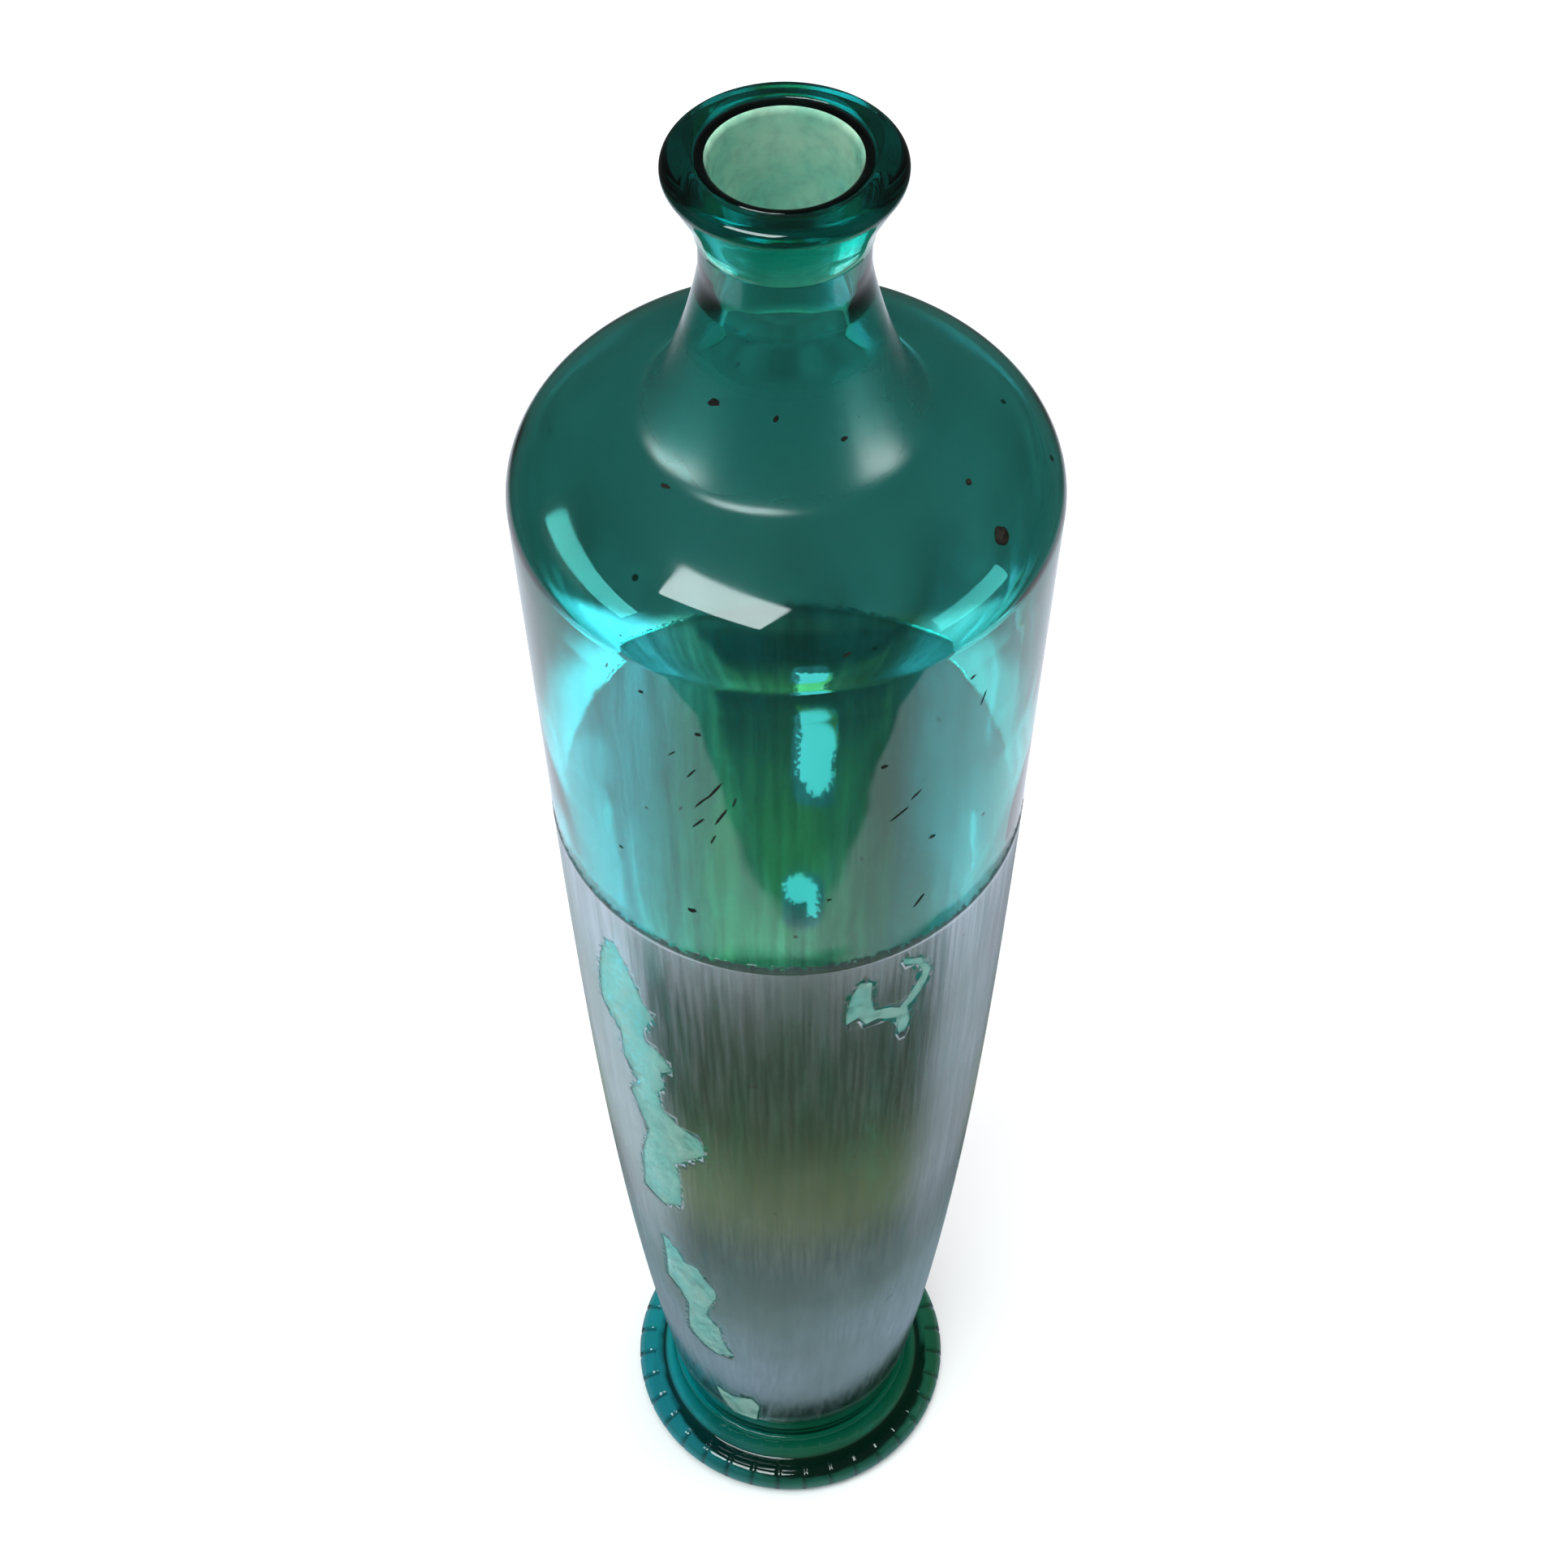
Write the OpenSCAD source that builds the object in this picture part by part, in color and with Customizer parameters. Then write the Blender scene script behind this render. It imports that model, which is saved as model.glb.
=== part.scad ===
// Tall footed glass bottle with a tooled lip, a crimped foot and a worn silver coat.
// Millimetres. +Z is up, the Z axis is the bottle's axis, and Z = 0 is the surface it stands on.
// The body is blown in one gather. The lip and the foot are further gathers put on hot, the
// scar is what broke off the pontil iron, and the coat is a thin metallic lacquer that was
// brushed over the lower part of the body and has worn through in places.

/* [Body] */
// Height at which the side ends and the rounded shoulder begins
shoulder_z = 413; // [385:1:440]
// Outer radius there, the widest place of the body
shoulder_r = 60; // [56:0.5:64]
// Rise of the shoulder's curve, a dome centred on the axis that the neck cuts short
shoulder_rise = 26.5; // [23:0.5:30]
// Slope of the side where it meets the shoulder, in radius gained per height
shoulder_slope = 0.028; // [0:0.002:0.05]
// Outer radius at the heel, where the body meets the foot
heel_r = 37; // [35.5:0.5:39]
// Slope of the side where it leaves the heel
heel_slope = 0.145; // [0.11:0.005:0.17]
// Rounding of the heel
heel_round = 6; // [4:0.5:7]

/* [Glass thickness] */
// Wall of the side and the shoulder
wall = 2.6; // [2:0.1:3.4]
// Glass across the bottom, at its outer edge
bottom_glass = 5; // [4:0.5:7]
// Height of the push-up in the middle of the inner bottom
inner_push_up = 6; // [3:0.5:9]

/* [Neck] */
// Height from the top of the shoulder's dome to the crown of the lip
neck_h = 60.5; // [55:0.5:72]
// Outer radius of the neck at its waist
neck_r = 17.2; // [16.9:0.1:18.4]
// Height of the waist below the crown of the lip
waist_drop = 25; // [22:0.5:28]
// Radius of the round bore that a cork goes into
bore_r = 14.6; // [13:0.1:14.8]
// Length of the straight bore, down from the mouth's rounding
bore_length = 31; // [27:0.5:32]
// Reach of the curve that leaves the shoulder for the neck
root_reach = 7.5; // [5:0.5:9]
// How far above halfway that curve turns upright
root_lift = 14; // [10:0.5:16]

/* [Lip] */
// Outer radius of the lip
lip_r = 23.9; // [23:0.1:26]
// Height of the lip, from its lower edge to its crown
lip_h = 17.5; // [15:0.5:19]
// Step by which the lip's lower edge stands proud of the neck
lip_step = 0.6; // [0.4:0.1:1]
// Rounding of the lip's rim
rim_round = 2.6; // [2:0.1:3]
// How far the top of the rim lies below the crown
rim_fall = 0.1; // [0.1:0.1:0.8]
// Drop of the lip's underside from the rim before it turns inwards
flare_drop = 2.7; // [2:0.1:3.5]
// Height above the lip's lower edge at which its underside turns upright
flare_turn = 4.7; // [4:0.1:6]
// Rounding where the bore opens into the crown
mouth_round = 1.8; // [1.2:0.1:2]

/* [Foot] */
// Outer radius of the foot
foot_r = 50.5; // [49:0.5:54]
// Radius of the full-round rim of the foot
foot_rim = 4.6; // [3.8:0.1:4.8]
// Height at which the body's bottom sits on the foot
seat_z = 9; // [8:0.5:11]
// Height of the foot's collar round the heel of the body
collar_h = 6.5; // [5:0.5:7.5]
// Thickness of the collar at its top
collar_t = 1.2; // [0.8:0.1:1.8]
// Rise of the hollow under the foot
kick_up = 4.5; // [3:0.5:5.5]
// Distance from the middle of the rim in to the edge of the hollow
bearing_w = 3.5; // [2:0.5:4.5]
// Number of crimps round the rim of the foot
crimps = 36; // [24:1:44]
// Radius of each crimping groove
crimp_r = 1.1; // [0.8:0.1:1.4]
// Depth of each crimping groove
crimp_depth = 0.7; // [0.4:0.1:0.8]

/* [Pontil scar] */
// Middle radius of the ring of glass that the pontil iron left
scar_r = 11; // [9:0.5:14]
// Width of that ring
scar_w = 3.2; // [2.4:0.1:4]
// How far the ring stands down from the hollow under the foot
scar_h = 1.4; // [1:0.1:1.8]
// Number of chips broken out of the ring
scar_chips = 7; // [5:1:9]

/* [Silver coat] */
// Height of the coat's lower edge
coat_low = 30; // [22:1:36]
// Height of the coat's upper edge
coat_high = 314; // [290:1:330]
// Thickness of the coat
coat_t = 0.2; // [0.15:0.05:0.4]

/* [Hidden] */
$fn = 96;

curve_steps = 9;             // steps along a large curve of the outline
small_steps = 5;             // steps along a small rounding
bare_steps = 6;              // steps along the side above the coat
coat_steps = 11;             // steps along the side under the coat
past = 1;                    // how far a cutting shape runs past what it cuts
shoulder_end = 57;           // angle up the shoulder's dome at which the neck begins
crown_flat = 1.6;            // width of the crown beside the mouth's rounding
crown_dip = 0.3;             // fall of the crown towards the mouth
crown_reach = 2.2;           // reach of the crown's curve before it turns down to the rim
rim_start = 80;              // angles on the lip's rim where the crown's curve ends
rim_end = -50;               // and where the lip's underside begins
flare_in = 0.9;              // how far the lip's underside turns in over flare_drop
lip_edge = 0.5;              // height of the lip's upright lower edge
chip_r = 0.9;                // middle radius of a chip in the pontil scar
chip_spread = 0.28;          // share by which the chips differ from it
foot_rim_end = 105;          // angle on the foot's rim where the groove inside it begins
heel_top = seat_z + heel_round;
crown_z = shoulder_z + shoulder_rise + neck_h;
waist_z = crown_z - waist_drop;
bore_top = crown_z - crown_dip - mouth_round;
throat_z = bore_top - bore_length;

// Worn places in the coat. Each has the bearing of its middle in degrees (0 faces -Y, and it
// grows towards +X), its depth below the coat's upper edge, and its outline as
// [distance along the surface, height] from that middle. The depths aren't whole millimetres,
// so that no corner of an outline falls on a step of the side.
worn_left = [
    [-10, 57], [-7, 61], [-4, 58], [-1, 51], [2, 43], [5, 39], [1, 30], [1, 24], [6, 23], [9, 17],
    [5, 13], [6, 7], [3, 1], [4, -6], [8, -10], [15, -13], [16, -20], [6, -34], [7, -42],
    [6, -58], [0, -64], [-8, -62], [-6, -40], [-2, -24], [-5, -14], [-7, -8], [-3, -1],
    [-8, 8], [-8, 20], [-15, 27], [-14, 42]
];
worn_right = [
    [-5, 23], [-2, 22], [-2, 15], [-1, 9], [3, 8], [6, 6], [8, 9], [10, 13], [12, 17], [10, 22],
    [6, 25], [6, 27], [11, 24], [14, 17], [13, 12], [11, 8], [8, 5], [9, -2], [8, -6], [6, -6],
    [5, 2], [3, 3], [0, 5], [-3, 4], [-5, 8], [-8, 6], [-8, 11], [-7, 18]
];
worn_low = [
    [-11, 33], [-6, 30], [-4, 24], [1, 26], [3, 20], [6, 15], [6, 10], [3, 1], [1, -7], [5, -13],
    [6, -26], [8, -32], [3, -36], [-2, -34], [-7, -28], [-6, -16], [-5, -7], [-8, 1], [-12, 4],
    [-11, 18]
];
worn_heel = [[-8, 6], [-2, 4], [5, 8], [7, 2], [5, -12], [-3, -12], [-6, -4]];
worn_back_high = [
    [6, 17], [-4, 17], [-5, 13], [-5, 5], [-4, 0], [-4, -8], [-3, -12], [0, -17], [3, -12],
    [5, -10], [5, 5], [4, 12]
];
worn_back_low = [
    [4, 3], [2, 6], [-1, 6], [-5, 1], [-4, -3], [-5, -12], [-3, -12], [-2, -5], [2, -6], [4, -2]
];
WORN = [
    [-41, 78.3, worn_left],
    [22, 34.3, worn_right],
    [-33, 199.7, worn_low],
    [-24, 274.3, worn_heel],
    [171, 59.3, worn_back_high],
    [176, 118.3, worn_back_low]
];

// ---- Curves ------------------------------------------------------------------------------

// One point or number on a cubic Bezier curve
function cubic(p0, p1, p2, p3, t) = let (s = 1 - t)
    s * s * s * p0 + 3 * s * s * t * p1 + 3 * s * t * t * p2 + t * t * t * p3;

// Points along such a curve
function bezier(p0, p1, p2, p3, n = curve_steps) = [for (i = [0:n]) cubic(p0, p1, p2, p3, i / n)];

// Points along an ellipse about [cx, cz], from angle a0 to a1
function arc(cx, cz, rx, rz, a0, a1, n = small_steps) = [
    for (i = [0:n]) let (a = a0 + (a1 - a0) * i / n) [cx + rx * cos(a), cz + rz * sin(a)]
];

function reversed(p) = [for (i = [len(p) - 1:-1:0]) p[i]];
function without_first(p) = [for (i = [1:len(p) - 1]) p[i]];
function last(p) = p[len(p) - 1];

// ---- Outline of the body -----------------------------------------------------------------

// Outer radius of the side at height z: it opens out from the heel and steepens as it climbs
side_h = shoulder_z - heel_top;
function side_r(z) = cubic(
    heel_r,
    heel_r + heel_slope * side_h / 3,
    shoulder_r - shoulder_slope * side_h / 3,
    shoulder_r,
    (z - heel_top) / side_h
);

// Heights at which the side is sampled; the coat's edges are among them, so both share faces
side_z = concat(
    [heel_top],
    [for (i = [0:coat_steps]) coat_low + (coat_high - coat_low) * i / coat_steps],
    [for (i = [1:bare_steps]) coat_high + (shoulder_z - coat_high) * i / bare_steps]
);

// The side and the shoulder, moved out by t, or in where t is negative
function side(t = 0) = [for (z = side_z) [side_r(z) + t, z]];
function shoulder(t = 0) = arc(
    0, shoulder_z, shoulder_r + t, shoulder_rise + t, 0, shoulder_end, curve_steps
);

// The hollow curve from the shoulder's end up to a neck that stands upright at the point top
function neck_root(top, t = 0) =
    let (
        start = last(shoulder(t)),
        across = (shoulder_r + t) * sin(shoulder_end),
        up = (shoulder_rise + t) * cos(shoulder_end),
        along = [-across, up] / norm([across, up])
    )
    bezier(start, start + root_reach * along, [top[0], (start[1] + top[1]) / 2 + root_lift], top);

module body_outside() {
    polygon(concat(
        [[0, seat_z]],
        arc(heel_r - heel_round, heel_top, heel_round, heel_round, -90, 0),
        without_first(side()),
        without_first(shoulder()),
        without_first(neck_root([neck_r, waist_z])),
        [[neck_r, crown_z], [0, crown_z]]
    ));
}

module body_inside() {
    floor_z = seat_z + bottom_glass;
    corner = heel_round + 1;
    corner_r = side_r(floor_z + corner) - wall - corner;
    polygon(concat(
        [
            for (i = [0:curve_steps]) let (a = 90 * max(i - 1, 0) / (curve_steps - 1))
                [corner_r * i / curve_steps, floor_z + inner_push_up * pow(cos(a), 2)]
        ],
        without_first(arc(corner_r, floor_z + corner, corner, corner, -90, 0)),
        [for (p = side(-wall)) if (p[1] > floor_z + corner + past) p],
        without_first(shoulder(-wall)),
        without_first(neck_root([bore_r, throat_z], -wall)),
        [[bore_r, crown_z + past], [0, crown_z + past]]
    ));
}

// ---- Mouth: its outline runs over the neck's end and the lip without a step ------------------

crown_r = bore_r + mouth_round + crown_flat;
rim_mid = [lip_r - rim_round, crown_z - rim_fall - rim_round];
mouth_curve = arc(bore_r + mouth_round, bore_top, mouth_round, mouth_round, 180, 90);
crown_curve = bezier(
    [crown_r, crown_z],
    [crown_r + crown_reach, crown_z],
    rim_mid + [-rim_round * cos(rim_start), rim_round],
    rim_mid + rim_round * [cos(rim_start), sin(rim_start)],
    small_steps
);
rim_curve = arc(rim_mid[0], rim_mid[1], rim_round, rim_round, rim_start, rim_end);
lip_low = [neck_r + lip_step, crown_z - lip_h];
under_lip = bezier(
    last(rim_curve),
    last(rim_curve) - [flare_in, flare_drop],
    lip_low + [lip_step, flare_turn],
    lip_low + [0, lip_edge]
);

module lip_and_neck_end() {
    polygon(concat(
        [[bore_r, lip_low[1]]],
        mouth_curve,
        crown_curve,
        without_first(rim_curve),
        without_first(under_lip),
        [lip_low]
    ));
}

module above_mouth() {
    polygon(concat(
        [[0, bore_top]],
        mouth_curve,
        crown_curve,
        [[lip_r, crown_z + past], [0, crown_z + past]]
    ));
}

module glass_body() {
    color([0.16, 0.55, 0.48, 0.45]) rotate_extrude() difference() {
        body_outside();
        body_inside();
        above_mouth();
    }
}

module lip() {
    color([0.10, 0.42, 0.38, 0.6]) rotate_extrude() difference() {
        lip_and_neck_end();
        translate([0, lip_low[1] - past]) square([neck_r, lip_h + 2 * past]);
    }
}

// ---- Foot --------------------------------------------------------------------------------

foot_mid_r = foot_r - foot_rim;              // radius of the rim's middle circle
hollow_r = foot_mid_r - bearing_w;           // radius of the hollow under the foot
collar_edge = [side_r(heel_top) + collar_t, seat_z + collar_h];

// Height of the hollow's roof at radius r
function hollow_z(r) = kick_up * (1 - pow(r / hollow_r, 2));

// The groove inside the rim and the start of the curve that climbs from it, from the rim's
// lowest point and in rim radii, and the pull that turns this curve up to the collar
groove_in = [-0.62, 1.74];
groove_out = [-1, 1.5];
collar_pull = [0.5, -4];

module foot_outline() {
    polygon(concat(
        [
            for (i = [0:curve_steps]) let (r = hollow_r * i / curve_steps)
                [r, hollow_z(hollow_r * max(i, 1) / curve_steps)]
        ],
        arc(foot_mid_r, foot_rim, foot_rim, foot_rim, -90, foot_rim_end, 14),
        bezier(
            [foot_mid_r, 0] + foot_rim * groove_in,
            [foot_mid_r, 0] + foot_rim * groove_out,
            collar_edge + collar_pull,
            collar_edge,
            small_steps
        ),
        [collar_edge - [collar_t + 1, 0], [0, collar_edge[1]]]
    ));
}

// One crimp: a round groove across the rim, between its top and its outer side
module crimp() {
    lean = 35;
    reach = foot_rim + crimp_r - crimp_depth;
    translate([foot_mid_r + reach * cos(lean), 0, foot_rim + reach * sin(lean)])
        rotate([0, lean - 90, 0])
        cylinder(h = foot_rim * 2, r = crimp_r, center = true, $fn = 24);
}

module foot() {
    color([0.08, 0.45, 0.36, 0.55]) difference() {
        rotate_extrude() difference() {
            foot_outline();
            body_outside();
        }
        for (i = [0:crimps - 1]) rotate([0, 0, (i + 0.5) * 360 / crimps]) crimp();
    }
}

// ---- Pontil scar -------------------------------------------------------------------------

// What one chip takes out of the ring, right across it
module chip(r) {
    cylinder(h = scar_w + past, r = r, center = true, $fn = 24);
}

// A broken ring of glass, left in the hollow under the foot by the pontil iron
module pontil_scar() {
    inner = scar_r - scar_w / 2;
    outer = scar_r + scar_w / 2;
    low_z = hollow_z(scar_r) - scar_h;
    color([0.20, 0.60, 0.52, 0.6]) difference() {
        rotate_extrude() difference() {
            polygon([
                [inner, kick_up + past],
                [inner, low_z + scar_h * 0.6],
                [inner + scar_w * 0.2, low_z + scar_h * 0.2],
                [scar_r, low_z],
                [outer - scar_w * 0.15, low_z + scar_h * 0.4],
                [outer, low_z + scar_h * 0.7],
                [outer, kick_up + past]
            ]);
            foot_outline();
            translate([0, kick_up]) square([outer + past, 2 * past]);
        }
        for (i = [0:scar_chips - 1]) rotate([0, 0, i * 360 / scar_chips + 17 * sin(140 * i)])
            translate([scar_r, 0, low_z])
            rotate([0, 90, 0])
            chip(chip_r * (1 + chip_spread * sin(97 * i)));
    }
}

// ---- Silver coat -------------------------------------------------------------------------

// One worn place, as a prism that reaches from the axis out through the coat
module worn_place(bearing, depth, outline) {
    rotate([0, 0, bearing - 90])
        translate([0, 0, coat_high - depth])
        rotate([90, 0, 90])
        linear_extrude(height = shoulder_r + coat_t + past)
        polygon(outline);
}

module silver_coat() {
    skin = [for (i = [1:coat_steps + 1]) side()[i]];
    color([0.62, 0.65, 0.72]) difference() {
        rotate_extrude() polygon(concat(skin, [for (p = reversed(skin)) p + [coat_t, 0]]));
        for (w = WORN) worn_place(w[0], w[1], w[2]);
    }
}

glass_body();
lip();
foot();
pontil_scar();
silver_coat();
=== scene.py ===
# %% [markdown]
# # A tall footed bottle of teal glass with a worn silver coat
# The bottle is blown, so nearly everything on it is turned about one axis. It could be sculpted
# or booleaned together, but a glassmaker thinks of it as an outline that spins, and Blender's
# Spin does the same: an outline is drawn point by point and swept round the Z axis. Lengths are
# metres, +Z is up, and the bottle stands on Z = 0.

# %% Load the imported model
import math

import bpy
import numpy as np
from mathutils import Matrix, Vector, noise


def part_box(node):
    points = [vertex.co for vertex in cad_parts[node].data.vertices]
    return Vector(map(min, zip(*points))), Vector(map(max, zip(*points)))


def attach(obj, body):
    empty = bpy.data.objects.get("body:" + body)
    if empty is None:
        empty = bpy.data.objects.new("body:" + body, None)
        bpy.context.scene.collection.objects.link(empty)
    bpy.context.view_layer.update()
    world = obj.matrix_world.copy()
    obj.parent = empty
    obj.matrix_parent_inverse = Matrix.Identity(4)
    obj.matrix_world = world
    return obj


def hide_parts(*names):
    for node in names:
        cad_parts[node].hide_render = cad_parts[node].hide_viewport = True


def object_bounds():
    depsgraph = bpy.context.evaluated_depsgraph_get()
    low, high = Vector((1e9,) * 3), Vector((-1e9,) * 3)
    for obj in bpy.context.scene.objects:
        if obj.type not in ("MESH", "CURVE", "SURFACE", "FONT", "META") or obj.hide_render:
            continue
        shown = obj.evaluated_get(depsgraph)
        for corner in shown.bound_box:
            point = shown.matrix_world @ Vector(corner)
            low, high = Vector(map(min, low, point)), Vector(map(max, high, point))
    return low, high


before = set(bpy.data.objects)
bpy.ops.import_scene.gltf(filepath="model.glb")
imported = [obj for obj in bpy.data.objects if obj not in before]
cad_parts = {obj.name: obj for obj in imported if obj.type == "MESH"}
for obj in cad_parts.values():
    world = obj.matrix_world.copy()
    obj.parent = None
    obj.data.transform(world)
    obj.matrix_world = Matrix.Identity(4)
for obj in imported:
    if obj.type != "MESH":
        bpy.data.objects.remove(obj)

cad_low, cad_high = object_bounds()
MM = 0.001
print("nodes", sorted(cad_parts), "height", round(cad_high.z, 4))

# %% [markdown]
# ## The camera
# The bottle is seen from above by a hand-held phone, close enough for the shoulder to look much
# wider than the foot. The view is set by where that phone is, and not by moving the bottle.

# %% The camera
RIM_Z = 4.4 * MM  # height of the widest circle of the foot
LIP_Z = cad_high.z - 2.2 * MM  # height of the widest circle of the lip
STAND_OFF = 0.8087 * (LIP_Z - RIM_Z)  # distance of the lens from the bottle's axis
LENS_UP = 2.0276 * STAND_OFF  # height of the lens above the foot's widest circle
TILT = 38.34  # degrees up from straight down
SWING = 0.08  # degrees to the side
ROLL = -0.29  # degrees about the line of sight
bpy.ops.object.camera_add(
    location=(0, -STAND_OFF, RIM_Z + LENS_UP),
    rotation=(math.radians(TILT), 0, 0),
)
camera = bpy.context.object
camera.name = "phone_camera"
camera.data.sensor_width = 36
camera.data.lens = 60.22
camera.data.clip_start = 0.01
camera.rotation_euler.rotate_axis("Y", math.radians(SWING))
camera.rotation_euler.rotate_axis("Z", math.radians(ROLL))
bpy.context.scene.camera = camera
print("camera at", [round(v, 3) for v in camera.location])

# %% [markdown]
# ## Curves for the outlines
# Every outline below is made of a few curves: a cubic that leaves one point in one direction and
# reaches another, and the arc of an ellipse. Points are (radius, height).

# %% Curves
def cubic(p0, p1, p2, p3, t):
    s = 1 - t
    return s**3 * p0 + 3 * s * s * t * p1 + 3 * s * t * t * p2 + t**3 * p3


def curve(p0, p1, p2, p3, steps):
    points = [np.array(p, float) for p in (p0, p1, p2, p3)]
    return [tuple(cubic(*points, i / steps)) for i in range(steps + 1)]


def arc(centre, radius_r, radius_z, start, end, steps):
    angles = [math.radians(start + (end - start) * i / steps) for i in range(steps + 1)]
    return [(centre[0] + radius_r * math.cos(a), centre[1] + radius_z * math.sin(a)) for a in angles]


print("halfway along a cubic from 0 to 1:", cubic(0, 0, 1, 1, 0.5))

# %% [markdown]
# ## Spinning an outline
# The outline starts as one point, which is extruded from place to place, and Spin sweeps it round
# in steps. The two ends of the sweep and the points on the axis lie on each other, so doubles are
# merged, and the normals are then turned to point out of the glass.

# %% Spin
WELD = 0.00002  # points closer than this are merged


def deselect():
    if bpy.context.object and bpy.context.object.mode == "EDIT":
        bpy.ops.object.mode_set(mode="OBJECT")
    bpy.ops.object.select_all(action="DESELECT")


def drawn(name, outline, closed=False):
    """Leaves the outline selected in edit mode, as a chain of edges in the XZ plane."""
    deselect()
    bpy.ops.mesh.primitive_plane_add(size=MM, location=(0, 0, 0))
    piece = bpy.context.object
    piece.name = name
    bpy.ops.object.mode_set(mode="EDIT")
    bpy.ops.mesh.merge(type="CENTER")
    bpy.ops.transform.translate(value=(outline[0][0], 0, outline[0][1]))
    for a, b in zip(outline, outline[1:]):
        bpy.ops.mesh.extrude_region_move(TRANSFORM_OT_translate={"value": (b[0] - a[0], 0, b[1] - a[1])})
    bpy.ops.mesh.select_all(action="SELECT")
    if closed:
        bpy.ops.mesh.edge_face_add()
    return piece


def spun(name, outline, steps, closed=False):
    piece = drawn(name, outline, closed)
    if closed:
        bpy.ops.mesh.delete(type="ONLY_FACE")
        bpy.ops.mesh.select_all(action="SELECT")
    bpy.ops.mesh.spin(steps=steps, angle=2 * math.pi, center=(0, 0, 0), axis=(0, 0, 1))
    bpy.ops.mesh.select_all(action="SELECT")
    bpy.ops.mesh.remove_doubles(threshold=WELD)
    bpy.ops.mesh.normals_make_consistent(inside=False)
    bpy.ops.object.mode_set(mode="OBJECT")
    bpy.ops.object.shade_smooth()
    return piece


def finished(piece, node=None):
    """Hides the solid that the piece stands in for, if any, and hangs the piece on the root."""
    if node:
        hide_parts(node)
    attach(piece, "root")
    print(piece.name, len(piece.data.polygons), "faces")


print("points closer than", WELD, "m are merged")

# %% [markdown]
# ## The blown body
# One wall of glass runs from the heel up the long side, over the shoulder and into the neck, and
# back down inside. The wall has to be real, with an outer and an inner face, because light bends
# at both and is dimmed by the glass between them: that is where the dark outline of a bottle
# comes from.

# %% Sizes of the body
SHOULDER_R = cad_high.x
SHOULDER_Z = 413 * MM  # height of the widest circle
SHOULDER_RISE = 26.5 * MM  # height of the ellipse above it
SHOULDER_END = 57  # degrees of the ellipse before the neck's curve starts
SHOULDER_SLOPE = 0.028  # how fast the side widens at the shoulder
HEEL_R = 37 * MM
HEEL_SLOPE = 0.145  # how fast it widens at the heel
HEEL_ROUND = 6 * MM
SEAT_Z = 9 * MM  # the body sits on the foot at this height
WALL = 2.6 * MM
BOTTOM = 5 * MM
PUSH_UP = 6 * MM  # how far the bottom rises at the axis
NECK_R = 17.2 * MM
ROOT_REACH = 7.5 * MM  # how far the shoulder's direction holds
ROOT_LIFT = 14 * MM  # how far up the curve is pulled below the neck
BORE_R = 14.6 * MM
CROWN_Z = cad_high.z
WAIST_Z = CROWN_Z - 25 * MM
BORE_TOP = CROWN_Z - 2.1 * MM
THROAT_Z = BORE_TOP - 31 * MM
MOUTH_ROUND = 1.8 * MM
CROWN_R = BORE_R + MOUTH_ROUND + 1.6 * MM
SEAM = 0.03 * MM  # air left between pieces that touch
HEEL_TOP = SEAT_Z + HEEL_ROUND
SIDE_H = SHOULDER_Z - HEEL_TOP


def side_r(z):
    return cubic(
        HEEL_R,
        HEEL_R + HEEL_SLOPE * SIDE_H / 3,
        SHOULDER_R - SHOULDER_SLOPE * SIDE_H / 3,
        SHOULDER_R,
        (z - HEEL_TOP) / SIDE_H,
    )


def side(low, high, offset, steps):
    heights = [low + (high - low) * i / steps for i in range(steps + 1)]
    return [(side_r(z) + offset, z) for z in heights]


def shoulder(offset=0.0):
    return arc((0, SHOULDER_Z), SHOULDER_R + offset, SHOULDER_RISE + offset, 0, SHOULDER_END, 20)


def neck_root(top, offset=0.0):
    start = np.array(shoulder(offset)[-1])
    end = math.radians(SHOULDER_END)
    along = np.array([
        -(SHOULDER_R + offset) * math.sin(end),
        (SHOULDER_RISE + offset) * math.cos(end),
    ])
    along /= np.linalg.norm(along)
    pull = (top[0], (start[1] + top[1]) / 2 + ROOT_LIFT)
    return curve(start, start + ROOT_REACH * along, pull, top, 20)


print("radius at the heel and the shoulder", [round(side_r(z), 4) for z in (HEEL_TOP, SHOULDER_Z)])

# %% [markdown]
# ## Spinning the body
# One outline goes up the outside, over the mouth and down the inside, from axis to axis, so the
# spun wall is closed. The inside is the same curves moved in by the wall, and is not a copy of
# the outside scaled down, which would make the wall thin at the neck and thick at the shoulder.

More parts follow.
